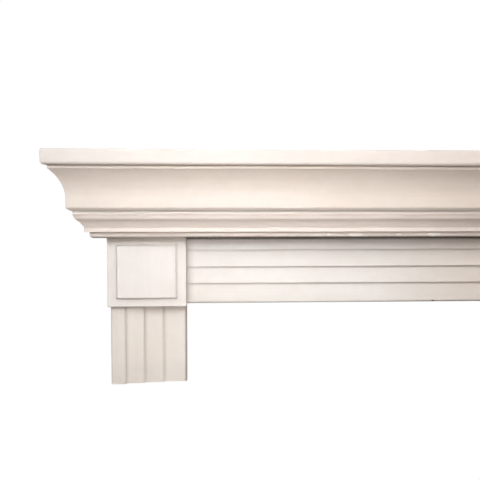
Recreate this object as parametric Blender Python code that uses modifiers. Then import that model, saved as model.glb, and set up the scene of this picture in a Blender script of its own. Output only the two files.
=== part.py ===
"""Overdoor cornice: the left-hand corner of a painted timber door surround.

Metres, +Z up. X runs along the wall to the viewer's right, the wall is the plane y = 0 and every front
faces -Y. The origin is the centre of the corner block's back face.
"""

import math

import bmesh
import bpy
from mathutils import Matrix, Vector

# Corner block and its raised panel
block_width = 0.098
block_height = 0.0866
block_thickness = 0.028
block_arris = 0.0008
panel_margin_side = 0.0123
panel_margin_top = 0.0092
panel_margin_bottom = 0.0114
panel_thickness = 0.005
panel_edge_radius = 0.0016

# Casing: four flat bands, each set back from the one outside it
casing_thickness = 0.022
band_step = 0.0035
band_arris = 0.0007
casing_outer_radius = 0.0022
casing_inner_radius = 0.0032

# Leg casing: its outer edge stands in from the block's side, and its last band takes the rest of the width
leg_length = 0.099
leg_inset = 0.003
leg_outer_bands = (0.0185, 0.0232, 0.0239)

# Head casing: its lower edge stands above the block's, and its last band takes the rest of the height
run_length = 0.400
head_lift = 0.0013
head_outer_bands = (0.0157, 0.0217, 0.0217)

# Base board under the cornice: here and below, a projection is measured out from the face of the block
base_thickness = 0.0073
base_projection = 0.0177
base_edge_radius = 0.0046
base_arris_share = 0.15

# Bed moulding: a fillet, a rounded part, a hollow and a second fillet at the foot, from the top down
bed_height = 0.0251
bed_foot_projection = 0.0228
bed_foot_fillet_height = 0.0054
bed_head_projection = 0.0344
bed_fillet_height = 0.0042
bed_fillet_lip = 0.0009
bed_round_height = 0.0059
bed_round_depth = 0.0025
bed_round_rise = 0.055
bed_hollow_rise = 0.065

# Crown moulding: a small fillet, a cove and a flat fascia with a rounded foot, from the top down
crown_height = 0.0523
crown_head_projection = 0.0567
crown_fillet_height = 0.0040
crown_fillet_lip = 0.0003
crown_cove_rise = 0.100
fascia_projection = 0.0405
fascia_height = 0.0169
fascia_round_height = 0.0041
fascia_round_depth = 0.0054
fascia_round_rise = 0.10

# Cap board: its lower edges are well rounded, and its other ones take a share of that radius
cap_thickness = 0.0180
cap_overhang = 0.0064
cap_lower_radius = 0.0038
cap_upper_share = 0.5
cap_corner_share = 0.3

# Clearance between two pieces that meet
joint_gap = 0.0003

# Facets in a hollow or round of a moulding, and in an eased edge
curve_steps = 16
arris_steps = 5

# Heights of the courses, worked up from the block
block_top = block_height / 2
base_bottom = block_top + joint_gap
base_top = base_bottom + base_thickness
bed_bottom = base_top + joint_gap
bed_top = bed_bottom + bed_height
crown_bottom = bed_top + joint_gap
crown_top = crown_bottom + crown_height
cap_bottom = crown_top + joint_gap
cap_top = cap_bottom + cap_thickness
leg_top = -block_height / 2 - joint_gap

# Ends of the run, and how far the cap comes out from the block
block_left = -block_width / 2
block_right = block_width / 2
head_start = block_right + joint_gap
run_end = block_right + run_length
cap_projection = crown_head_projection + cap_overhang

# Paint, by how much light and handling each piece gets
cream_white = (0.90, 0.85, 0.79, 1.0)
shaded_cream = (0.86, 0.80, 0.73, 1.0)
satin_roughness = 0.38

sharp_edge_angle = math.radians(30)
weld_distance = 0.00001
flat_angle = math.radians(0.5)

LEFT = Vector((-1, 0, 0))
RIGHT = Vector((1, 0, 0))
OUT = Vector((0, -1, 0))
UP = Vector((0, 0, 1))
DOWN = Vector((0, 0, -1))


def clear_scene():
    for obj in list(bpy.data.objects):
        bpy.data.objects.remove(obj, do_unlink=True)


def make_collection(name):
    collection = bpy.data.collections.new(name)
    bpy.context.scene.collection.children.link(collection)
    return collection


def move_to_collection(obj, collection):
    for owner in list(obj.users_collection):
        owner.objects.unlink(obj)
    collection.objects.link(obj)


def finish_piece(obj, colour):
    """Gives the piece its own satin paint, and shades its curves smooth between crisp edges."""
    material = bpy.data.materials.new(obj.name + "_paint")
    material.use_nodes = True
    material.diffuse_color = colour
    shader = material.node_tree.nodes["Principled BSDF"]
    shader.inputs["Base Color"].default_value = colour
    shader.inputs["Roughness"].default_value = satin_roughness
    shader.inputs["Metallic"].default_value = 0.0
    obj.data.materials.append(material)
    obj.data.shade_smooth()
    obj.data.set_sharp_from_angle(angle=sharp_edge_angle)


def arc(start, end, rise_share):
    """Points on a circular arc, after start and up to end.

    rise_share is the arc's rise over its chord, positive where it bows to the left on the way to its end.
    """
    a = Vector(start)
    b = Vector(end)
    chord = b - a
    span = chord.length
    side = math.copysign(1, rise_share)
    rise = abs(rise_share) * span
    radius = (span * span / 4 + rise * rise) / (2 * rise)
    bow = Vector((-chord.y, chord.x)) / span * side
    centre = (a + b) / 2 + bow * (rise - radius)
    middle = math.atan2(bow.y, bow.x)
    half = math.asin(span / 2 / radius)
    points = []
    for step in range(1, curve_steps + 1):
        angle = middle + side * half * (1 - 2 * step / curve_steps)
        points.append((centre.x + radius * math.cos(angle), centre.y + radius * math.sin(angle)))
    return points


def eased(corner, way_in, way_out, radius):
    """A right-angled corner of an outline as an arc, from the ways into and out of it."""
    points = []
    for step in range(arris_steps + 1):
        turn = math.pi / 2 * step / arris_steps
        short_of = radius * (1 - math.sin(turn))
        past = radius * (1 - math.cos(turn))
        x = corner[0] - way_in[0] * short_of + way_out[0] * past
        y = corner[1] - way_in[1] * short_of + way_out[1] * past
        points.append((x, y))
    return points


def crown_outline():
    """x is the distance out from the wall, and y the height above the crown's underside."""
    fascia_front = block_thickness + fascia_projection
    head_front = block_thickness + crown_head_projection
    cove_top = (head_front - crown_fillet_lip, crown_height - crown_fillet_height)
    underside_end = (fascia_front - fascia_round_depth, 0)
    outline = [(0, 0), underside_end]
    outline += arc(underside_end, (fascia_front, fascia_round_height), -fascia_round_rise)
    outline.append((fascia_front, fascia_height))
    outline += arc((fascia_front, fascia_height), cove_top, crown_cove_rise)
    outline += [(head_front, cove_top[1]), (head_front, crown_height), (0, crown_height)]
    return outline


def bed_outline():
    """x is the distance out from the wall, and y the height above the bed moulding's underside."""
    foot = (block_thickness + bed_foot_projection, 0)
    head_front = block_thickness + bed_head_projection
    round_top = (head_front - bed_fillet_lip, bed_height - bed_fillet_height)
    round_foot = (round_top[0] - bed_round_depth, round_top[1] - bed_round_height)
    fillet_top = (foot[0], bed_foot_fillet_height)
    outline = [(0, 0), foot, fillet_top]
    outline += arc(fillet_top, round_foot, bed_hollow_rise)
    outline += arc(round_foot, round_top, -bed_round_rise)
    outline += [(head_front, round_top[1]), (head_front, bed_height), (0, bed_height)]
    return outline


def casing_outline(outer_bands, width):
    """x runs from the casing's outer edge to its inner one, and y is the distance out from the wall."""
    across, out, back = (1, 0), (0, 1), (0, -1)
    outline = [(0, 0)]
    outline += eased((0, casing_thickness), out, across, casing_outer_radius)
    edge = 0
    face = casing_thickness
    for band in outer_bands:
        edge += band
        outline += eased((edge, face), across, back, band_arris)
        face -= band_step
        outline.append((edge, face))
    outline += eased((width, face), across, back, casing_inner_radius)
    outline.append((width, 0))
    return outline


def run_of_moulding(name, outline, length, x_way, y_way, middle, collection):
    """A closed outline drawn out to a length: x_way and y_way are where its own x and y point."""
    curve = bpy.data.curves.new(name + "_outline", "CURVE")
    curve.dimensions = "2D"
    curve.fill_mode = "BOTH"
    curve.extrude = length / 2
    spline = curve.splines.new("POLY")
    spline.points.add(len(outline) - 1)
    for point, (x, y) in zip(spline.points, outline):
        point.co = (x, y, 0, 1)
    spline.use_cyclic_u = True
    drawn = bpy.data.objects.new(name + "_outline", curve)
    collection.objects.link(drawn)
    turn = Matrix((x_way, y_way, x_way.cross(y_way))).transposed()
    drawn.matrix_world = Matrix.Translation(middle) @ turn.to_4x4()
    bpy.context.view_layer.update()

    mesh = bpy.data.meshes.new_from_object(drawn.evaluated_get(bpy.context.evaluated_depsgraph_get()))
    mesh.name = name
    work = bmesh.new()
    work.from_mesh(mesh)
    bmesh.ops.remove_doubles(work, verts=work.verts, dist=weld_distance)
    bmesh.ops.dissolve_limit(work, angle_limit=flat_angle, verts=work.verts, edges=work.edges)
    bmesh.ops.recalc_face_normals(work, faces=work.faces)
    work.to_mesh(mesh)
    work.free()
    piece = bpy.data.objects.new(name, mesh)
    piece.matrix_world = drawn.matrix_world.copy()
    collection.objects.link(piece)
    bpy.data.objects.remove(drawn, do_unlink=True)
    return piece


def mitre_cutter(name, kept_side, reach, collection):
    """A box that clears all but the kept side of the 45 degree mitre, from the corner back to the wall."""
    bpy.ops.mesh.primitive_cube_add(size=reach)
    cutter = bpy.context.object
    cutter.name = name
    move_to_collection(cutter, collection)
    cutter.rotation_euler = (0, 0, math.radians(45))
    cutter.location = Vector((block_left, -block_thickness, 0)) - kept_side * (reach - joint_gap) / 2
    cutter.hide_render = True
    cutter.display_type = "WIRE"
    return cutter


def cut_mitre(piece, cutter):
    cut = piece.modifiers.new("mitre", "BOOLEAN")
    cut.operation = "DIFFERENCE"
    cut.solver = "EXACT"
    cut.object = cutter


def board(name, low, high, collection):
    """A board between two corners, with its origin at its centre."""
    bpy.ops.mesh.primitive_cube_add(size=1)
    piece = bpy.context.object
    piece.name = name
    piece.data.name = name
    move_to_collection(piece, collection)
    piece.location = (Vector(low) + Vector(high)) / 2
    piece.data.transform(Matrix.Diagonal(Vector(high) - Vector(low)).to_4x4())
    return piece


def ease_edges(piece, radius, shares):
    """Rounds some edges of a board.

    shares gives an edge's share of the radius by its side along x, y and z, where 0 is the way it runs.
    """
    half = Vector(max(vertex.co[axis] for vertex in piece.data.vertices) for axis in range(3))
    weights = piece.data.attributes.new("bevel_weight_edge", "FLOAT", "EDGE")
    for edge in piece.data.edges:
        first, second = (piece.data.vertices[index].co for index in edge.vertices)
        side = tuple(round((first[axis] + second[axis]) / 2 / half[axis]) for axis in range(3))
        weights.data[edge.index].value = shares.get(side, 0)
    bevel = piece.modifiers.new("eased_edges", "BEVEL")
    bevel.limit_method = "WEIGHT"
    bevel.width = radius
    bevel.segments = arris_steps


def make_mitred_course(name, outline, projection, bottom, collection, front_clearer, return_clearer):
    """One course of moulding: the long front piece and the short return at its left end."""
    course_left = block_left - projection
    length = run_end - course_left
    middle = Vector(((course_left + run_end) / 2, 0, bottom))
    front = run_of_moulding(name + "_front", outline, length, OUT, UP, middle, collection)
    depth = block_thickness + projection
    middle = Vector((block_left + block_thickness, -depth / 2, bottom))
    side = run_of_moulding(name + "_return", outline, depth, LEFT, UP, middle, collection)
    cut_mitre(front, front_clearer)
    cut_mitre(side, return_clearer)
    finish_piece(front, cream_white)
    finish_piece(side, cream_white)


def make_cap_board(collection):
    low = (block_left - cap_projection, -block_thickness - cap_projection, cap_bottom)
    cap = board("cap_board", low, (run_end, 0, cap_top), collection)
    shares = {(0, -1, -1): 1, (-1, 0, -1): 1, (-1, -1, 0): cap_corner_share}
    shares |= {(0, -1, 1): cap_upper_share, (-1, 0, 1): cap_upper_share}
    ease_edges(cap, cap_lower_radius, shares)
    finish_piece(cap, cream_white)


def make_base_board(collection):
    low = (block_left - base_projection, -block_thickness - base_projection, base_bottom)
    base = board("base_board", low, (run_end, 0, base_top), collection)
    fine = base_arris_share
    rounded_below = {(0, -1, -1): 1, (-1, 0, -1): 1, (-1, -1, 0): fine, (0, -1, 1): fine, (-1, 0, 1): fine}
    ease_edges(base, base_edge_radius, rounded_below)
    finish_piece(base, cream_white)


def make_corner_block(collection):
    low = (block_left, -block_thickness, -block_height / 2)
    block = board("corner_block", low, (block_right, 0, block_top), collection)
    face_edges = {(-1, -1, 0): 1, (1, -1, 0): 1, (0, -1, -1): 1, (0, -1, 1): 1}
    ease_edges(block, block_arris, face_edges)
    finish_piece(block, cream_white)

    panel_back = -block_thickness - joint_gap
    panel_bottom = -block_height / 2 + panel_margin_bottom
    low = (block_left + panel_margin_side, panel_back - panel_thickness, panel_bottom)
    high = (block_right - panel_margin_side, panel_back, block_top - panel_margin_top)
    panel = board("block_panel", low, high, collection)
    ease_edges(panel, panel_edge_radius, face_edges)
    finish_piece(panel, cream_white)


def make_leg_casing(collection):
    outline = casing_outline(leg_outer_bands, block_width - leg_inset)
    middle = Vector((block_left + leg_inset, 0, leg_top - leg_length / 2))
    leg = run_of_moulding("leg_casing", outline, leg_length, RIGHT, OUT, middle, collection)
    finish_piece(leg, shaded_cream)


def make_head_casing(collection):
    outline = casing_outline(head_outer_bands, block_height - head_lift)
    middle = Vector(((head_start + run_end) / 2, 0, block_top))
    head = run_of_moulding("head_casing", outline, run_end - head_start, DOWN, OUT, middle, collection)
    finish_piece(head, shaded_cream)


clear_scene()
pieces = make_collection("overdoor_cornice")
cutters = make_collection("mitre_cutters")

cutter_reach = 2 * (block_width + run_length + cap_projection)
front_side = Vector((1, -1, 0)).normalized()
front_clearer = mitre_cutter("clears_front", front_side, cutter_reach, cutters)
return_clearer = mitre_cutter("clears_return", -front_side, cutter_reach, cutters)

make_cap_board(pieces)
make_mitred_course(
    "crown", crown_outline(), crown_head_projection, crown_bottom, pieces, front_clearer, return_clearer
)
make_mitred_course(
    "bed", bed_outline(), bed_head_projection, bed_bottom, pieces, front_clearer, return_clearer
)
make_base_board(pieces)
make_corner_block(pieces)
make_head_casing(pieces)
make_leg_casing(pieces)
bpy.context.view_layer.update()
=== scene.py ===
import math

import bmesh
import bpy
import numpy as np
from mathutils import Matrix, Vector, noise


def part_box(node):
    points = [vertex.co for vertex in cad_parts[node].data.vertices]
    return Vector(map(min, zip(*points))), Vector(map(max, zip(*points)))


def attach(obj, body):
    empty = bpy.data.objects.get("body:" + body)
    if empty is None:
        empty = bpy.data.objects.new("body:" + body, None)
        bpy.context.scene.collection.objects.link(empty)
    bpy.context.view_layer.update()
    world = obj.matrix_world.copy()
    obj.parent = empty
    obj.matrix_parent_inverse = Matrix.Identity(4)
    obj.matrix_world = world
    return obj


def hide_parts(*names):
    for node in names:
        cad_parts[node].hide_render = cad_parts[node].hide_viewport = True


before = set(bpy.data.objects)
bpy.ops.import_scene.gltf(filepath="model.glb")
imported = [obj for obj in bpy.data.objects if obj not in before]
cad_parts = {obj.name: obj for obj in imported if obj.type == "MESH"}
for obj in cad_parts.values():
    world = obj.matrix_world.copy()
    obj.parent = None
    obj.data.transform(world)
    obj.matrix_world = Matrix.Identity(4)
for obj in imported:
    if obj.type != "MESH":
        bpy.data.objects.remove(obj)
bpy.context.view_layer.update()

# Sizes of the door surround's corner, in metres.
# A projection is measured out from the face of the corner block.
block_width = 0.098
block_thickness = 0.028
block_left = -block_width / 2

crown_head_projection = 0.0567
crown_fillet_height = 0.0040
crown_fillet_lip = 0.0003
crown_cove_rise = 0.100
fascia_projection = 0.0405
fascia_height = 0.0169
fascia_round_height = 0.0041
fascia_round_depth = 0.0054
fascia_round_rise = 0.10

bed_foot_projection = 0.0228
bed_foot_fillet_height = 0.0054
bed_head_projection = 0.0344
bed_fillet_height = 0.0042
bed_fillet_lip = 0.0009
bed_round_height = 0.0059
bed_round_depth = 0.0025
bed_round_rise = 0.055
bed_hollow_rise = 0.065

casing_thickness = 0.022
band_step = 0.0035
band_arris = 0.0007
casing_outer_radius = 0.0022
casing_inner_radius = 0.0032
leg_outer_bands = (0.0185, 0.0232, 0.0239)
head_outer_bands = (0.0157, 0.0217, 0.0217)

cap_lower_radius = 0.0038
cap_upper_share = 0.5
cap_corner_share = 0.3
base_edge_radius = 0.0046
base_arris_share = 0.15
block_arris = 0.0008
panel_edge_radius = 0.0016

# How closely the mouldings are drawn
curve_steps = 26
round_steps = 8
station_spacing = 0.0035
outline_spacing = 0.0011
true_corner = math.radians(12)
sharp_edge = math.radians(38)
side_share = 0.45
front_share = 0.45
worked_share = 0.4
behind_paint = 0.001
at_wall = 1e-6
at_face = 1e-5
cut_width = 1e-7
facing = 0.95

# The coats of paint round every arris and fill every crease a little
paint_arris = 0.00035
paint_crease = 0.0005
mitre_radius = 0.0006
mitre_seam = 0.00002
unrounded_share = 0.06

# How far the wear and painted highlight of arrises, the grime and painted shade of hollows and the
# filler of a mitre reach
moulding_arris_reach = 0.0007
moulding_hollow_reach = 0.0013
casing_arris_reach = 0.0008
casing_hollow_reach = 0.0012
block_shadow_reach = 0.0022
board_arris_reach = 0.0008
board_hollow_reach = 0.0011
board_round_reach_share = 0.45
mitre_filler_reach = 0.0009
mitre_line_strength = 0.5
mitre_filler_strength = 0.45

# Slow unevenness of planed and sanded timber under the paint: how deep it is, and how many
# waves of it go into a metre along x, y and z
hand_wave = 0.00009
slow_waves = (13, 13, 45)
quick_waves = (55, 55, 90)
moulding_onset = 2.2
casing_onset = 250
nick_onset = 400


class Value:
    """A socket of a finish. A sum that is written with it adds its Math nodes."""

    def __init__(self, finish, socket):
        self.finish = finish
        self.socket = socket

    def worked(self, operation, first, second):
        return self.finish.add("ShaderNodeMath", {"operation": operation}, {0: first, 1: second})

    def __add__(self, other):
        return self.worked("ADD", self, other)

    def __sub__(self, other):
        return self.worked("SUBTRACT", self, other)

    def __rsub__(self, other):
        return self.worked("SUBTRACT", other, self)

    def __mul__(self, other):
        return self.worked("MULTIPLY", self, other)

    def __truediv__(self, other):
        return self.worked("DIVIDE", self, other)

    def __pow__(self, other):
        return self.worked("POWER", self, other)

    __radd__ = __add__
    __rmul__ = __mul__


class Finish:
    """One painted or primed finish, as a material."""

    def __init__(self, name):
        self.material = bpy.data.materials.new(name)
        self.material.use_nodes = True
        self.tree = self.material.node_tree
        self.shader = self.tree.nodes["Principled BSDF"]

    def add(self, kind, settings=None, sockets=None, out=0):
        node = self.tree.nodes.new(kind)
        for name, setting in (settings or {}).items():
            setattr(node, name, setting)
        for name, value in (sockets or {}).items():
            self.feed(node.inputs[name], value)
        return Value(self, node.outputs[out])

    def feed(self, socket, value):
        if isinstance(value, Value):
            self.tree.links.new(value.socket, socket)
        else:
            socket.default_value = value

    def place(self):
        return self.add("ShaderNodeTexCoord", out="Object")

    def stretched(self, place, scale):
        return self.add("ShaderNodeVectorMath", {"operation": "MULTIPLY"}, {0: place, 1: scale})

    def cloud(self, place, scale, detail=2.0, roughness=0.5):
        sockets = {"Vector": place, "Scale": scale, "Detail": detail, "Roughness": roughness}
        return self.add("ShaderNodeTexNoise", None, sockets)

    def streaks(self, place, way, scales, detail, roughness):
        """Noise drawn out along one axis. Its scales are along the streaks and across them."""
        stretch = tuple(scales[0] if axis == way else scales[1] for axis in "xyz")
        return self.cloud(self.stretched(place, stretch), 1.0, detail, roughness)

    def between(self, value, low, high):
        """From 0 at low to 1 at high."""
        settings = {"interpolation_type": "SMOOTHSTEP"}
        sockets = {"Value": value, "From Min": low, "From Max": high}
        return self.add("ShaderNodeMapRange", settings, sockets)

    def blend(self, mask, under, over):
        sockets = {0: mask, 6: under, 7: over}
        return self.add("ShaderNodeMix", {"data_type": "RGBA"}, sockets, out=2)

    def toned(self, mask, under, tint):
        """A colour multiplied by a tint where the mask is."""
        settings = {"data_type": "RGBA", "blend_type": "MULTIPLY"}
        return self.add("ShaderNodeMix", settings, {0: mask, 6: under, 7: tint}, out=2)

    def mark(self, name):
        return self.add("ShaderNodeAttribute", {"attribute_name": name}, None, out="Fac")

    def apart(self, place):
        node = self.add("ShaderNodeSeparateXYZ", None, {0: place}).socket.node
        return [Value(self, socket) for socket in node.outputs]

    def beyond(self, value, span):
        """How far a value lies outside a span."""
        over = value.worked("MAXIMUM", span[0] - value, value - span[1])
        return over.worked("MAXIMUM", over, 0.0)

    def away_from(self, across, middle, half_width, up, height, half_height):
        """From 0 in the middle of a spot through 1 at its rim."""
        return ((across - middle) / half_width) ** 2.0 + ((up - height) / half_height) ** 2.0

    def raised(self, height, distance):
        return self.add("ShaderNodeBump", None, {"Height": height, "Distance": distance})


# Colours of the paint, of what lies on it, of its painted shade and highlight, and of what shows
# through it
cream = (0.872, 0.785, 0.685)
cream_thin = (0.837, 0.744, 0.640)
cream_worn_and_highlit = (0.905, 0.835, 0.745)
dust_and_shade_brown = (0.500, 0.415, 0.330, 1.0)
joint_dirt_and_shadow = (0.050, 0.036, 0.024, 1.0)
filler_and_spot_white = (1.0, 0.960, 0.860, 1.0)
bare_wood = (0.120, 0.070, 0.040, 1.0)
primer_white = (0.770, 0.735, 0.680, 1.0)
primer_dull = (0.660, 0.605, 0.530, 1.0)

# Marks in the finishes, in spots or streaks to a metre. Streaks have a scale along and one across.
drift_scale = 22.0
mottle_scale = 75.0
ragged_scale = 420.0
nib_scale = 520.0
stipple_scale = 1500.0
bristle_scales = (16.0, 760.0)
laid_off_scales = (5.0, 150.0)
grain_scales = (9.0, 330.0)
primer_mottle_scale = 60.0
primer_grain_scales = (12.0, 210.0)
saw_scales = (60.0, 900.0)

# Where along the run the painted shade towards the right-hand end begins, and where it is full
right_end_shade_span = (0.29, 0.42)

paint_ior = 1.46
paint_relief = 0.00009
primer_relief = 0.00014


def satin_paint(
    name, way, dust_and_shade=1.0, cast=(1.0, 1.0, 1.0), right_end_shade=None, dirt_and_shadow_lines=(), white_spots=(), nicks=()
):
    """Brushed satin paint: bristle lines, faint grain, grime and painted shade in its hollows,
    and arrises lighter from wear and a painted highlight.

    way is the axis the brush went along; the next argument sets the grime and painted shade in
    hollows.
    cast is how this piece's coat differs from the others in red, green and blue, and the tint
    after it is painted shade: what is left of its colour by the end of the run.
    A dark line is dirt in an open joint, or painted shadow in a corner or under an overhang: its
    span along x, its span up z, how far it reaches from there, and how much of it there is.
    A white spot has its middle along x, half its width, its height, half its thickness, and
    how thickly it lies. A nick is where the paint is off: its place along x, its height and
    its radius.
    """
    def mixed(colour):
        return tuple(part * share for part, share in zip(colour, cast)) + (1.0,)

    paint = Finish(name)
    place = paint.place()
    drift = paint.cloud(place, drift_scale, 1.0)
    bristles = paint.streaks(place, way, bristle_scales, 3.0, 0.62)
    laid_off = paint.streaks(place, way, laid_off_scales, 2.0, 0.5)
    grain = paint.streaks(place, way, grain_scales, 4.0, 0.7)
    mottle = paint.cloud(place, mottle_scale, 3.0, 0.55)
    stipple = paint.cloud(place, stipple_scale, 2.0, 0.5)
    nibs = paint.between(paint.cloud(place, nib_scale, 1.0, 0.4), 0.735, 0.80)

    tone = 0.45 * mottle + 0.35 * drift + 0.35 * laid_off + 0.25 * bristles - 0.2
    colour = paint.blend(paint.between(tone, 0.30, 0.72), mixed(cream_thin), mixed(cream))

    # Arrises are lighter from wear and from a painted highlight.
    arris = paint.mark("arris")
    worn_and_highlit = paint.between(arris * (0.75 + 0.5 * mottle), 0.42, 0.95)
    colour = paint.blend(worn_and_highlit * 0.75, colour, mixed(cream_worn_and_highlit))

    # Grime and painted shade darken the paint in the hollows.
    crease_dust_and_shade = paint.mark("crease_dust_and_shade")
    settled_dust_and_shade = paint.between(crease_dust_and_shade * (0.55 + 0.9 * mottle), 0.25, 1.05)
    colour = paint.blend(settled_dust_and_shade * (0.50 * dust_and_shade), colour, dust_and_shade_brown)

    across, _, up = paint.apart(place)
    # Painted shade: the colour darkens towards the right-hand end of the run.
    if right_end_shade:
        colour = paint.toned(paint.between(across, *right_end_shade_span), colour, (*right_end_shade, 1.0))
    ragged = paint.cloud(place, ragged_scale, 3.0, 0.6)
    # Each dark line is dirt in a joint, or painted shadow where shade falls.
    for along_span, up_span, reach, share in dirt_and_shadow_lines:
        aside = paint.beyond(across, along_span) / reach
        above = paint.beyond(up, up_span) / reach
        away = aside * aside + above * above + 0.5 * (ragged - 0.5)
        colour = paint.blend(share * paint.between(away, 1.0, 0.0), colour, joint_dirt_and_shadow)

    # The mitre's filler and the white spots are laid on in near-white.
    filler_and_spots = paint.between(paint.mark("filler") + 0.9 * mottle, 0.85, 1.15)
    for middle, half_width, height, half_height, strength in white_spots:
        away = paint.away_from(across, middle, half_width, up, height, half_height)
        filler_and_spots = filler_and_spots + strength * paint.between(away + 1.6 * (ragged - 0.5), 1.05, 0.75)
    filler_and_spots = paint.between(filler_and_spots, 0.0, 1.0)
    colour = paint.blend(filler_and_spots, colour, filler_and_spot_white)

    roughness = 0.36 + 0.10 * mottle + 0.06 * bristles
    roughness = roughness + 0.20 * settled_dust_and_shade - 0.05 * worn_and_highlit + 0.15 * filler_and_spots
    for middle, height, radius in nicks:
        away = paint.away_from(across, middle, radius, up, height, radius)
        chipped = paint.between(away + 1.2 * (ragged - 0.5), 1.0, 0.6)
        colour = paint.blend(chipped, colour, bare_wood)
        roughness = roughness + 0.3 * chipped

    paint.feed(paint.shader.inputs["Base Color"], colour)
    paint.feed(paint.shader.inputs["Roughness"], roughness)
    paint.shader.inputs["IOR"].default_value = paint_ior
    relief = 0.55 * bristles + 0.5 * grain + 0.5 * laid_off
    relief = relief + 0.12 * stipple + 0.5 * nibs + 0.8 * filler_and_spots
    paint.feed(paint.shader.inputs["Normal"], paint.raised(relief, paint_relief))
    return paint.material


def sawn_primer(name, way):
    """Thin matt primer on a cut end or a back, with saw lines and grain showing through."""
    primer = Finish(name)
    place = primer.place()
    grain = primer.streaks(place, way, primer_grain_scales, 4.0, 0.65)
    lying, upright = saw_scales
    saw = primer.cloud(primer.stretched(place, (lying, lying, upright)), 1.0, 2.0, 0.5)
    mottle = primer.cloud(place, primer_mottle_scale, 3.0, 0.6)
    tone = primer.between(0.5 * grain + 0.35 * mottle + 0.3 * saw, 0.42, 0.70)
    colour = primer.blend(tone, primer_dull, primer_white)
    primer.feed(primer.shader.inputs["Base Color"], colour)
    primer.feed(primer.shader.inputs["Roughness"], 0.62 + 0.18 * mottle)
    relief = 0.7 * grain + 0.5 * saw
    primer.feed(primer.shader.inputs["Normal"], primer.raised(relief, primer_relief))
    return primer.material


def arc(start, end, rise_share):
    """Points on a circular arc, after start and up to end.

    rise_share is its rise over its chord. A positive one bows to the left of the way.
    """
    a = Vector(start)
    b = Vector(end)
    chord = b - a
    span = chord.length
    side = math.copysign(1, rise_share)
    rise = abs(rise_share) * span
    radius = (span * span / 4 + rise * rise) / (2 * rise)
    bow = Vector((-chord.y, chord.x)) / span * side
    centre = (a + b) / 2 + bow * (rise - radius)
    middle = math.atan2(bow.y, bow.x)
    half = math.asin(span / 2 / radius)
    points = []
    for step in range(1, curve_steps + 1):
        angle = middle + side * half * (1 - 2 * step / curve_steps)
        across, up = radius * math.cos(angle), radius * math.sin(angle)
        points.append((centre.x + across, centre.y + up))
    return points


def eased(corner, way_in, way_out, radius):
    """A right-angled corner of an outline as an arc, from the ways into and out of it."""
    points = []
    for step in range(round_steps + 1):
        turn = math.pi / 2 * step / round_steps
        short_of = radius * (1 - math.sin(turn))
        past = radius * (1 - math.cos(turn))
        x = corner[0] - way_in[0] * short_of + way_out[0] * past
        y = corner[1] - way_in[1] * short_of + way_out[1] * past
        points.append((x, y))
    return points


class Section:
    """A moulding's closed outline, out from the wall and up, with its arrises and hollows."""

    def __init__(self, outline, arrises=(), hollows=()):
        self.arrises = list(arrises)
        self.hollows = list(hollows)
        self.points = self.drawn_close(self.softened(outline))
        self.depth = max(out for out, _ in self.points)

    def softened(self, outline):
        """Every true corner in front of the wall as a small round of paint."""
        soft = []
        for index, point in enumerate(outline):
            here = Vector(point)
            way_in = here - Vector(outline[index - 1])
            way_out = Vector(outline[(index + 1) % len(outline)]) - here
            crossed = way_in.x * way_out.y - way_in.y * way_out.x
            turn = math.atan2(crossed, way_in.dot(way_out))
            if abs(turn) < true_corner or here.x < behind_paint:
                soft.append(tuple(here))
                continue
            (self.arrises if turn > 0 else self.hollows).append(tuple(here))
            radius = paint_arris if turn > 0 else paint_crease
            room = (side_share * way_in.length, side_share * way_out.length)
            reach = min(radius * math.tan(abs(turn) / 2), *room)
            radius = reach / math.tan(abs(turn) / 2)
            ahead = way_in.normalized()
            side = Vector((-ahead.y, ahead.x)) * math.copysign(1, turn)
            start = here - ahead * reach
            for step in range(round_steps + 1):
                angle = abs(turn) * step / round_steps
                onward = start + ahead * radius * math.sin(angle)
                soft.append(tuple(onward + side * radius * (1 - math.cos(angle))))
        return soft

    def drawn_close(self, outline):
        """Long straight stretches at the front get points in between."""
        front = front_share * max(out for out, _ in outline)
        close = []
        for index, point in enumerate(outline):
            close.append(point)
            here, there = Vector(point), Vector(outline[(index + 1) % len(outline)])
            if min(here.x, there.x) > front:
                parts = math.ceil((there - here).length / outline_spacing)
                close += [tuple(here.lerp(there, part / parts)) for part in range(1, parts)]
        return close


def crown_section(height):
    fascia_front = block_thickness + fascia_projection
    head_front = block_thickness + crown_head_projection
    cove_top = (head_front - crown_fillet_lip, height - crown_fillet_height)
    underside_end = (fascia_front - fascia_round_depth, 0)
    outline = [(0, 0), underside_end]
    fascia_foot = (fascia_front, fascia_round_height)
    outline += arc(underside_end, fascia_foot, -fascia_round_rise)
    outline.append((fascia_front, fascia_height))
    outline += arc((fascia_front, fascia_height), cove_top, crown_cove_rise)
    outline += [(head_front, cove_top[1]), (head_front, height), (0, height)]
    return Section(outline, arrises=[fascia_foot], hollows=[(head_front, height), cove_top])


def bed_section(height):
    foot = (block_thickness + bed_foot_projection, 0)
    head_front = block_thickness + bed_head_projection
    round_top = (head_front - bed_fillet_lip, height - bed_fillet_height)
    round_foot = (round_top[0] - bed_round_depth, round_top[1] - bed_round_height)
    fillet_top = (foot[0], bed_foot_fillet_height)
    outline = [(0, 0), foot, fillet_top]
    outline += arc(fillet_top, round_foot, bed_hollow_rise)
    outline += arc(round_foot, round_top, -bed_round_rise)
    outline += [(head_front, round_top[1]), (head_front, height), (0, height)]
    return Section(outline, hollows=[(head_front, height), round_foot])


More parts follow.
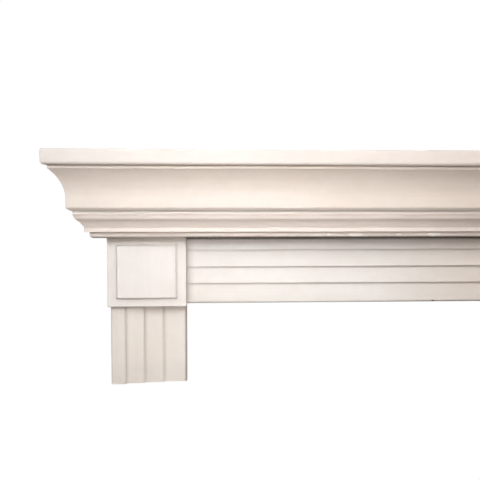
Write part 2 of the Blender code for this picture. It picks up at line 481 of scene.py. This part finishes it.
def casing_section(outer_bands, width):
    """An outline from the casing's outer edge to its inner one: x is across, and y is out."""
    across, out, back = (1, 0), (0, 1), (0, -1)
    outline = [(0, 0)]
    outline += eased((0, casing_thickness), out, across, casing_outer_radius)
    edge = 0
    face = casing_thickness
    arrises, hollows = [(0, casing_thickness)], []
    for band in outer_bands:
        edge += band
        arrises.append((edge, face))
        outline += eased((edge, face), across, back, band_arris)
        face -= band_step
        outline.append((edge, face))
        hollows.append((edge, face))
    outline += eased((width, face), across, back, casing_inner_radius)
    outline.append((width, 0))
    return outline, arrises, hollows


def nearness(spots, sources, reach):
    """From 1 at a source to 0 far from all, for points of a section."""
    gaps = np.linalg.norm(spots[:, None, :] - np.array(sources)[None, :, :], axis=2)
    return np.exp(-gaps.min(axis=1) / reach)


def mark_mesh(mesh, name, values):
    mark = mesh.attributes.new(name, "FLOAT", "POINT")
    mark.data.foreach_set("value", np.asarray(values, np.float32))


def close_up(name, corners, faces, cut_faces, paint, primer):
    """A smooth, closed piece of moulding. Its cut ends and its back take the primer."""
    mesh = bpy.data.meshes.new(name)
    mesh.from_pydata(corners, [], faces)
    mesh.materials.append(paint)
    mesh.materials.append(primer)
    for index in cut_faces:
        mesh.polygons[index].material_index = 1
    work = bmesh.new()
    work.from_mesh(mesh)
    bmesh.ops.recalc_face_normals(work, faces=work.faces)
    work.to_mesh(mesh)
    work.free()
    mesh.shade_smooth()
    mesh.set_sharp_from_angle(angle=sharp_edge)
    piece = bpy.data.objects.new(name, mesh)
    bpy.context.scene.collection.objects.link(piece)
    return piece


def swept(name, outline, stations, place_of, paint, primer):
    """A section drawn from station to station.

    place_of gives where a point of the outline is at a station.
    """
    count = len(outline)
    corners = [place_of(station, point) for station in stations for point in outline]
    faces = []
    cut_faces = []
    for ring in range(len(stations) - 1):
        for index in range(count):
            after = (index + 1) % count
            if max(outline[index][0], outline[after][0]) < at_wall:
                cut_faces.append(len(faces))
            here, there = ring * count, (ring + 1) * count
            faces.append((here + index, here + after, there + after, there + index))
    cut_faces += [len(faces), len(faces) + 1]
    faces.append(tuple(range(count)))
    faces.append(tuple(range((len(stations) - 1) * count, len(stations) * count)))
    return close_up(name, corners, faces, cut_faces, paint, primer)


def wave_in(place, seed):
    """How far the worked surface lies under its true line there."""
    slow_place = Vector(part * waves for part, waves in zip(place, slow_waves))
    quick_place = Vector(part * waves for part, waves in zip(place, quick_waves))
    slow = noise.noise(slow_place + Vector((seed, 0, 0)))
    quick = noise.noise(quick_place + Vector((0, seed, 0)))
    return hand_wave * (0.5 + 0.38 * slow + 0.12 * quick)


def onset(amount):
    """None up to 1, and all of it from 2 on."""
    return min(1.0, max(0.0, amount - 1.0))


def mitred_moulding(name, section, bottom, far_end, turned, seed, lumps, paint, primer):
    """The front of a course, or its return where turned, mitred at the left corner.

    A lump of filler has its height on the section, its way from the mitre, its width and how
    far it stands proud.
    """
    corner = block_left + block_thickness
    rounding = [("round", 45 * (1 - step / round_steps)) for step in range(round_steps + 1)]
    length = section.depth if turned else far_end - (corner - section.depth)
    parts = max(4, math.ceil(length / station_spacing))
    stations = rounding + [("run", part / parts) for part in range(1, parts + 1)]

    def place_of(station, point):
        out, up = point
        kind, amount = station
        weight = onset(out / section.depth * moulding_onset)
        if kind == "round":
            angle = math.radians(amount)
            from_corner = mitre_radius * (1 - math.sin(angle))
            inset = mitre_radius * (1 - math.cos(angle))
        else:
            reach = (out if turned else far_end - (corner - out)) - mitre_radius
            from_corner = mitre_radius + reach * amount
            inset = 0.0
        from_corner += mitre_seam
        if turned:
            spot = (corner - out, -out + from_corner, bottom + up)
        else:
            spot = (corner - out + from_corner, -out, bottom + up)
        inset += weight * wave_in(spot, seed)
        for height, away, width, rise in lumps:
            gap = ((up - height) / width) ** 2 + ((from_corner - away) / width) ** 2
            inset -= rise * math.exp(-gap)
        if turned:
            return (min(spot[0] + inset, corner), min(spot[1], 0.0), spot[2])
        return (min(spot[0], far_end), min(spot[1] + inset, 0.0), spot[2])

    piece = swept(name, section.points, stations, place_of, paint, primer)
    spots = np.tile(np.array(section.points), (len(stations), 1))
    mark_mesh(piece.data, "arris", nearness(spots, section.arrises, moulding_arris_reach))
    mark_mesh(piece.data, "crease_dust_and_shade", nearness(spots, section.hollows, moulding_hollow_reach))
    filler = np.zeros(len(spots))
    places = np.array([vertex.co for vertex in piece.data.vertices])
    if turned:
        from_mitre = places[:, 1] + spots[:, 0]
    else:
        from_mitre = places[:, 0] - (corner - spots[:, 0])
    for height, away, width, _ in lumps:
        gap = ((spots[:, 1] - height) / width) ** 2 + ((from_mitre - away) / width) ** 2
        filler += np.exp(-gap)
    filler += mitre_line_strength * np.exp(-((from_mitre / mitre_filler_reach) ** 2))
    mark_mesh(piece.data, "filler", np.clip(filler, 0, 1) * mitre_filler_strength)
    return piece


def straight_casing(name, outer_bands, width, way, start, end, edge, seed, nicks, paint, primer):
    """A stepped casing that runs along x or z from its start to its end.

    edge is where its outer edge lies. A nick has its place along x, its height, its radius and
    its depth.
    """
    outline, arrises, hollows = casing_section(outer_bands, width)
    shape = Section([(out, across) for across, out in outline])
    shape.arrises += [(out, across) for across, out in arrises]
    shape.hollows += [(out, across) for across, out in hollows]
    parts = math.ceil(abs(end - start) / station_spacing)
    stations = [start + (end - start) * part / parts for part in range(parts + 1)]

    def place_of(station, point):
        out, across = point
        spot = (station, -out, edge - across) if way == "x" else (edge + across, -out, station)
        inset = onset(out * casing_onset) * wave_in(spot, seed)
        for middle, height, radius, depth in nicks:
            gap = ((spot[0] - middle) / radius) ** 2 + ((spot[2] - height) / radius) ** 2
            inset += depth * math.exp(-gap) * min(1.0, out * nick_onset)
        return (spot[0], min(spot[1] + inset, 0.0), spot[2])

    piece = swept(name, shape.points, stations, place_of, paint, primer)
    spots = np.tile(np.array(shape.points), (len(stations), 1))
    mark_mesh(piece.data, "arris", nearness(spots, shape.arrises, casing_arris_reach))
    # Grime and painted shade lie in the steps, and a painted shadow of the block lies at the
    # casing's start.
    in_steps = nearness(spots, shape.hollows, casing_hollow_reach)
    along_run = np.repeat(np.array(stations), len(shape.points))
    at_start = np.exp(-np.abs(along_run - start) / block_shadow_reach)
    mark_mesh(piece.data, "crease_dust_and_shade", np.maximum(in_steps, at_start))
    return piece


def eased_board(
    name, low, high, radius, shares, spacing, seed, paint, primer, dust_and_shade_levels=(), cut_right=False
):
    """A board with rounded edges.

    shares gives an edge's share of the radius by the side that it lies on along x, y and z.
    spacing is how closely the board is drawn along each. Grime and painted shade lie at the levels
    listed for them, and a board that is cut at its right-hand end has primer there.
    """
    low, high = Vector(low), Vector(high)
    middle, half = (low + high) / 2, (high - low) / 2
    work = bmesh.new()
    bmesh.ops.create_cube(work, size=2.0)
    for vertex in work.verts:
        vertex.co = Vector(vertex.co[axis] * half[axis] for axis in range(3)) + middle
    blank = bpy.data.meshes.new(name + "_blank")
    work.to_mesh(blank)
    work.free()
    plank = bpy.data.objects.new(name + "_blank", blank)
    bpy.context.scene.collection.objects.link(plank)
    weights = blank.attributes.new("bevel_weight_edge", "FLOAT", "EDGE")
    for edge in blank.edges:
        first, second = (blank.vertices[index].co for index in edge.vertices)
        centre = (first + second) / 2 - middle
        side = tuple(round(centre[axis] / half[axis]) for axis in range(3))
        weights.data[edge.index].value = shares.get(side, unrounded_share)
    rounder = plank.modifiers.new("rounder", "BEVEL")
    rounder.limit_method = "WEIGHT"
    rounder.width = radius
    rounder.segments = round_steps
    bpy.context.view_layer.update()
    rounded = plank.evaluated_get(bpy.context.evaluated_depsgraph_get())
    mesh = bpy.data.meshes.new_from_object(rounded)
    bpy.data.objects.remove(plank, do_unlink=True)

    work = bmesh.new()
    work.from_mesh(mesh)
    for axis in range(3):
        parts = math.ceil((high[axis] - low[axis]) / spacing[axis])
        normal = Vector(1.0 if other == axis else 0.0 for other in range(3))
        for part in range(1, parts):
            cut_at = low + (high - low) * (part / parts)
            whole = work.verts[:] + work.edges[:] + work.faces[:]
            bmesh.ops.bisect_plane(
                work, geom=whole, dist=cut_width, plane_co=cut_at, plane_no=normal
            )
    for vertex in work.verts:
        spot = vertex.co
        if spot.y < low.y + worked_share * (high.y - low.y):
            vertex.co.y = spot.y + wave_in(spot, seed)
    bmesh.ops.recalc_face_normals(work, faces=work.faces)
    mesh.name = name
    work.to_mesh(mesh)
    work.free()
    mesh.materials.clear()
    mesh.materials.append(paint)
    mesh.materials.append(primer)
    for face in mesh.polygons:
        at_back = face.normal.y > facing and face.center.y > high.y - at_face
        at_cut = face.normal.x > facing and face.center.x > high.x - at_face
        face.material_index = 1 if at_back or (cut_right and at_cut) else 0
    mesh.shade_smooth()
    mesh.set_sharp_from_angle(angle=sharp_edge)
    piece = bpy.data.objects.new(name, mesh)
    bpy.context.scene.collection.objects.link(piece)

    spots = np.array([vertex.co for vertex in mesh.vertices])
    sides = np.minimum(np.abs(spots - np.array(low)), np.abs(spots - np.array(high)))
    from_edge = np.linalg.norm(np.sort(sides, axis=1)[:, :2], axis=1)
    arris_reach = max(board_arris_reach, board_round_reach_share * radius)
    mark_mesh(mesh, "arris", np.exp(-from_edge / arris_reach))
    # Grime and painted shade lie along the levels listed.
    crease_dust_and_shade = np.zeros(len(spots))
    for level in dust_and_shade_levels:
        crease_dust_and_shade = np.maximum(crease_dust_and_shade, np.exp(-np.abs(spots[:, 2] - level) / board_hollow_reach))
    mark_mesh(mesh, "crease_dust_and_shade", crease_dust_and_shade)
    return piece


def fit(piece, node):
    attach(piece, "root")
    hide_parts(node)


def at(level):
    return (level, level)


run_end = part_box("cap_board")[1].x

# Spans that reach past the part on one side or on both
far_left, far_right = -1.0, 1.0
everywhere = (far_left, far_right)

# How the coats of the pieces differ from the cream, in red, green and blue
cap_cast = (1.0, 1.02, 1.04)
crown_cast = (0.955, 0.945, 0.925)
block_cast = (0.985, 1.035, 1.075)
casing_cast = (0.965, 1.030, 1.070)
leg_cast = (0.970, 1.005, 1.015)

cornice_primer = sawn_primer("primed_cornice_ends", "x")
casing_primer = sawn_primer("primed_casing_ends", "z")

# Cap board
low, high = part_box("cap_board")
# The cap is darker along its top edge, and painted shade darkens it towards its right-hand end.
cap_paint = satin_paint(
    "satin_cream_cap", "x", dust_and_shade=0.8, cast=cap_cast, right_end_shade=(0.980, 0.960, 0.935),
    dirt_and_shadow_lines=[(everywhere, at(high.z), 0.0016, 0.10)]
)
cap_shares = {(0, -1, -1): 1, (-1, 0, -1): 1, (-1, -1, 0): cap_corner_share}
cap_shares |= {(0, -1, 1): cap_upper_share, (-1, 0, 1): cap_upper_share}
cap = eased_board(
    "cap_board_painted", low, high, cap_lower_radius, cap_shares, spacing=(0.006, 0.012, 0.0035),
    seed=3.1, paint=cap_paint, primer=cornice_primer, cut_right=True
)
fit(cap, "cap_board")

# Crown moulding, with spots of filler on its mitre
low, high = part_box("crown_front")
crown = crown_section(high.z - low.z)
crown_lumps = [
    (0.0395, 0.0011, 0.0011, 0.00022), (0.0371, 0.0024, 0.0009, 0.00016),
    (0.0182, 0.0016, 0.0014, 0.00024), (0.0166, 0.0040, 0.0012, 0.00014)
]
# Painted shade lies under the cap and at the fascia's foot, and darkens the crown towards its
# right-hand end.
crown_paint = satin_paint(
    "satin_cream_crown", "x", cast=crown_cast, right_end_shade=(0.935, 0.925, 0.915),
    dirt_and_shadow_lines=[(everywhere, at(high.z), 0.0016, 0.28), (everywhere, at(low.z), 0.0012, 0.30)]
)
crown_front = mitred_moulding(
    "crown_front_painted", crown, low.z, run_end, turned=False, seed=11.7, lumps=crown_lumps,
    paint=crown_paint, primer=cornice_primer
)
fit(crown_front, "crown_front")
crown_return = mitred_moulding(
    "crown_return_painted", crown, low.z, 0.0, turned=True, seed=17.3,
    lumps=[crown_lumps[0], crown_lumps[2]],
    paint=satin_paint("satin_cream_crown_return", "y", cast=crown_cast), primer=cornice_primer
)
fit(crown_return, "crown_return")

# Bed moulding, with painted shade under the fascia, at the foot of its rounded part and towards
# its right-hand end
low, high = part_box("bed_front")
bed = bed_section(high.z - low.z)
bed_lumps = [(0.0232, 0.0022, 0.0010, 0.00016)]
round_foot = low.z + 0.0143
bed_paint = satin_paint(
    "satin_cream_bed", "x", right_end_shade=(0.910, 0.900, 0.890),
    dirt_and_shadow_lines=[(everywhere, at(high.z), 0.0015, 0.30), (everywhere, at(round_foot), 0.0030, 0.08)]
)
bed_front = mitred_moulding(
    "bed_front_painted", bed, low.z, run_end, turned=False, seed=23.9, lumps=bed_lumps,
    paint=bed_paint, primer=cornice_primer
)
fit(bed_front, "bed_front")
bed_return = mitred_moulding(
    "bed_return_painted", bed, low.z, 0.0, turned=True, seed=29.5, lumps=bed_lumps,
    paint=satin_paint("satin_cream_bed_return", "y"), primer=cornice_primer
)
fit(bed_return, "bed_return")

# Base board, with white spots along its lower edge. Under it lie a dark joint and painted shadow,
# darker over the head casing than over the block, and painted shade lies along its top.
low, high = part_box("base_board")
base_white_spots = [
    (0.2578, 0.0096, 0.0475, 0.0022, 1.8), (0.3128, 0.0040, 0.0475, 0.0016, 1.1),
    (0.3570, 0.0088, 0.0476, 0.0023, 1.8), (0.2254, 0.0028, 0.0475, 0.0012, 0.8)
]
block_right = -block_left
base_gap_and_shadow_lines = [
    ((block_right, far_right), at(low.z), 0.0021, 0.95),
    ((far_left, block_right), at(low.z), 0.0021, 0.45),
    (everywhere, at(low.z), 0.0034, 0.30), (everywhere, at(high.z), 0.0012, 0.26)
]
base_paint = satin_paint("satin_cream_base", "x", dirt_and_shadow_lines=base_gap_and_shadow_lines, white_spots=base_white_spots)
base_shares = {(0, -1, -1): 1, (-1, 0, -1): 1, (-1, -1, 0): base_arris_share}
base_shares |= {(0, -1, 1): base_arris_share, (-1, 0, 1): base_arris_share}
base = eased_board(
    "base_board_painted", low, high, base_edge_radius, base_shares, spacing=(0.004, 0.008, 0.0015),
    seed=31.3, paint=base_paint, primer=cornice_primer, dust_and_shade_levels=[high.z], cut_right=True
)
fit(base, "base_board")

# Corner block and its raised panel, with painted shadow right of the panel and under it, under
# the block and under the base board
low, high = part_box("corner_block")
panel_low, panel_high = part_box("block_panel")
face_edges = {(-1, -1, 0): 1, (1, -1, 0): 1, (0, -1, -1): 1, (0, -1, 1): 1}
block_painted_shadows = [
    (at(panel_high.x), (panel_low.z, panel_high.z), 0.0028, 0.20),
    ((panel_low.x, panel_high.x), at(panel_low.z), 0.0024, 0.18),
    (everywhere, at(low.z), 0.0009, 0.60)
]
block_paint = satin_paint("satin_cream_block", "z", cast=block_cast, dirt_and_shadow_lines=block_painted_shadows)
block = eased_board(
    "corner_block_painted", low, high, block_arris, face_edges, spacing=(0.004, 0.007, 0.004),
    seed=37.1, paint=block_paint, primer=casing_primer, dust_and_shade_levels=[high.z]
)
fit(block, "corner_block")
panel_paint = satin_paint("satin_cream_panel", "z", cast=block_cast)
panel = eased_board(
    "block_panel_painted", panel_low, panel_high, panel_edge_radius, face_edges,
    spacing=(0.004, 0.0016, 0.004), seed=41.9, paint=panel_paint, primer=casing_primer
)
fit(panel, "block_panel")

# Head casing: painted shadow under its steps, beside the block and along its lower edge, more
# and more of it towards the cut end, and a dark joint with painted shadow under the base board
low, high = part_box("head_casing")
nick = (0.3700, low.z, 0.0016, 0.0009)
chip = (nick[0], nick[1] + 0.0007, 0.0021)
head_dirt_and_shadows = []
for count, share in ((1, 0.10), (2, 0.06), (3, 0.05)):
    step = high.z - sum(head_outer_bands[:count])
    head_dirt_and_shadows.append((everywhere, (step - 0.0014, step - 0.0006), 0.0020, share))
head_dirt_and_shadows += [
    (everywhere, at(high.z), 0.0042, 0.48), (everywhere, at(high.z), 0.0021, 1.0),
    (at(low.x), everywhere, 0.0050, 0.12), (at(low.x), everywhere, 0.0105, 0.12),
    (everywhere, at(low.z), 0.0024, 0.30)
]
edge_shade_start = nick[0] - 0.10
for part in range(7):
    head_dirt_and_shadows.append(((edge_shade_start + 0.02 * part, far_right), at(low.z), 0.0026, 0.07))
head_paint = satin_paint(
    "satin_cream_head_casing", "x", dust_and_shade=0.35, cast=casing_cast, right_end_shade=(0.960, 0.915, 0.880),
    dirt_and_shadow_lines=head_dirt_and_shadows, nicks=[chip]
)
head = straight_casing(
    "head_casing_painted", head_outer_bands, high.z - low.z, "x", low.x, run_end, edge=high.z,
    seed=43.7, nicks=[nick], paint=head_paint, primer=cornice_primer
)
fit(head, "head_casing")

# Leg casing, with painted shadow beside its steps and along its inner edge, and painted shade that
# grows towards its cut
low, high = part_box("leg_casing")
leg_painted_shadows = []
for count in (1, 2, 3):
    step = low.x + sum(leg_outer_bands[:count])
    leg_painted_shadows.append(((step, step + 0.0010), everywhere, 0.0026, 0.12))
leg_painted_shadows += [(at(high.x), everywhere, 0.0032, 0.50), (everywhere, at(low.z), 0.0350, 0.055)]
leg_paint = satin_paint(
    "satin_cream_leg_casing", "z", dust_and_shade=0.3, cast=leg_cast, dirt_and_shadow_lines=leg_painted_shadows
)
leg = straight_casing(
    "leg_casing_painted", leg_outer_bands, high.x - low.x, "z", high.z, low.z, edge=low.x,
    seed=47.3, nicks=[], paint=leg_paint, primer=casing_primer
)
fit(leg, "leg_casing")


def studio_floor():
    """A round pale floor well below the part, which fades out at its rim."""
    bpy.ops.mesh.primitive_circle_add(
        vertices=96, radius=floor_radius, fill_type="NGON", location=floor_place
    )
    floor = bpy.context.object
    floor.name = "studio_floor"
    made = Finish("pale_floor")
    place = made.place()
    across, deep, _ = made.apart(place)
    from_middle = (across * across + deep * deep) ** 0.5
    solid = made.between(from_middle, floor_radius * 0.96, floor_radius * 0.45)
    colour = made.blend(made.cloud(place, floor_scale), floor_pale, floor_paler)
    made.feed(made.shader.inputs["Base Color"], colour)
    made.feed(made.shader.inputs["Roughness"], 0.8)
    made.feed(made.shader.inputs["Emission Color"], floor_glow)
    made.feed(made.shader.inputs["Emission Strength"], floor_glow_strength)
    made.feed(made.shader.inputs["Alpha"], solid)
    floor.data.materials.append(made.material)


def white_surround():
    """A plain white shell behind everything, which the camera sees and the light passes."""
    bpy.ops.mesh.primitive_uv_sphere_add(segments=48, ring_count=24, radius=shell_radius)
    shell = bpy.context.object
    shell.name = "white_surround"
    made = Finish("plain_white")
    made.tree.nodes.remove(made.shader)
    glow = made.add("ShaderNodeEmission", None, {"Color": plain_white, "Strength": shell_strength})
    made.feed(made.tree.nodes["Material Output"].inputs["Surface"], glow)
    shell.data.materials.append(made.material)
    shell.visible_diffuse = False
    shell.visible_glossy = False
    shell.visible_transmission = False
    shell.visible_volume_scatter = False
    shell.visible_shadow = False


def soft_box(name, place, side, power, colour, fan=180):
    """A square lamp turned to the part, with its side in metres and its power in watts.

    fan is the angle in degrees over which its light goes out.
    """
    light = bpy.data.lights.new(name, "AREA")
    light.size = side
    light.energy = power
    light.color = colour
    light.spread = math.radians(fan)
    box = bpy.data.objects.new(name, light)
    box.location = place
    box.rotation_euler = (part_middle - Vector(place)).to_track_quat("-Z", "Y").to_euler()
    box.visible_camera = False
    bpy.context.scene.collection.objects.link(box)


part_middle = Vector((0.12, -0.05, 0.06))
floor_place = (0.1, -0.06, -0.62)
floor_radius = 0.78
floor_scale = 40.0
floor_glow_strength = 0.26
shell_radius = 9.0
shell_strength = 1.02
room_strength = 0.003

floor_pale = (0.84, 0.83, 0.81, 1.0)
floor_paler = (0.88, 0.87, 0.85, 1.0)
floor_glow = (1.0, 0.985, 0.96, 1.0)
plain_white = (1.0, 1.0, 1.0, 1.0)
cool_white = (0.884, 0.931, 1.0)
even_white = (0.990, 0.930, 0.935)
warm_white = (1.0, 0.887, 0.887)

studio_floor()
white_surround()

# Lamps in front of the part and under it, then those behind it and off its cut end
soft_box("left_lamp", (-1.00, -0.70, 0.35), 0.30, 2.73, cool_white)
soft_box("left_high_lamp", (-0.80, -0.70, 0.75), 0.30, 2.18, cool_white)
soft_box("right_lamp", (0.95, -0.95, 0.42), 1.00, 4.82, even_white)
soft_box("right_high_lamp", (0.70, -0.80, 0.80), 0.40, 3.08, even_white)
soft_box("high_lamp", (0.10, -0.90, 0.95), 0.60, 1.70, cool_white)
soft_box("front_lamp", (0.34, -1.00, 0.62), 0.30, 0.95, cool_white)
soft_box("low_lamp", (0.13, -0.50, -0.18), 0.20, 0.47, warm_white)
soft_box("left_spot", (-0.20, -0.95, 0.42), 0.15, 0.285, cool_white, 50)
soft_box("high_spot", (0.08, -0.75, 0.75), 0.15, 0.06, cool_white, 50)
soft_box("low_spot", (0.10, -0.90, -0.10), 0.15, 0.10, warm_white, 55)
soft_box("back_lamp", (0.45, 1.10, 0.50), 0.40, 0.60, even_white, 50)
soft_box("back_fill", (-0.60, 0.90, 0.10), 0.40, 0.35, even_white, 50)
soft_box("back_high_lamp", (0.20, 0.60, 1.10), 0.40, 0.90, even_white, 50)
soft_box("end_lamp", (1.25, 0.12, 0.35), 0.30, 0.50, even_white, 50)

room = bpy.data.worlds.new("room")
room.use_nodes = True
background = room.node_tree.nodes["Background"]
background.inputs["Color"].default_value = (*cool_white, 1.0)
background.inputs["Strength"].default_value = room_strength
bpy.context.scene.world = room
bpy.context.scene.view_settings.view_transform = "Standard"

# The camera, turned down a little and to the right
looks_down = math.radians(2.8434)
looks_right = math.radians(2.8283)
camera = bpy.data.cameras.new("camera")
camera.sensor_width = 36.0
camera.lens = 45.0
viewer = bpy.data.objects.new("camera", camera)
viewer.location = (0.0794, -0.778, 0.0775)
viewer.rotation_euler = (math.radians(90) - looks_down, 0.0, -looks_right)
bpy.context.scene.collection.objects.link(viewer)
bpy.context.scene.camera = viewer
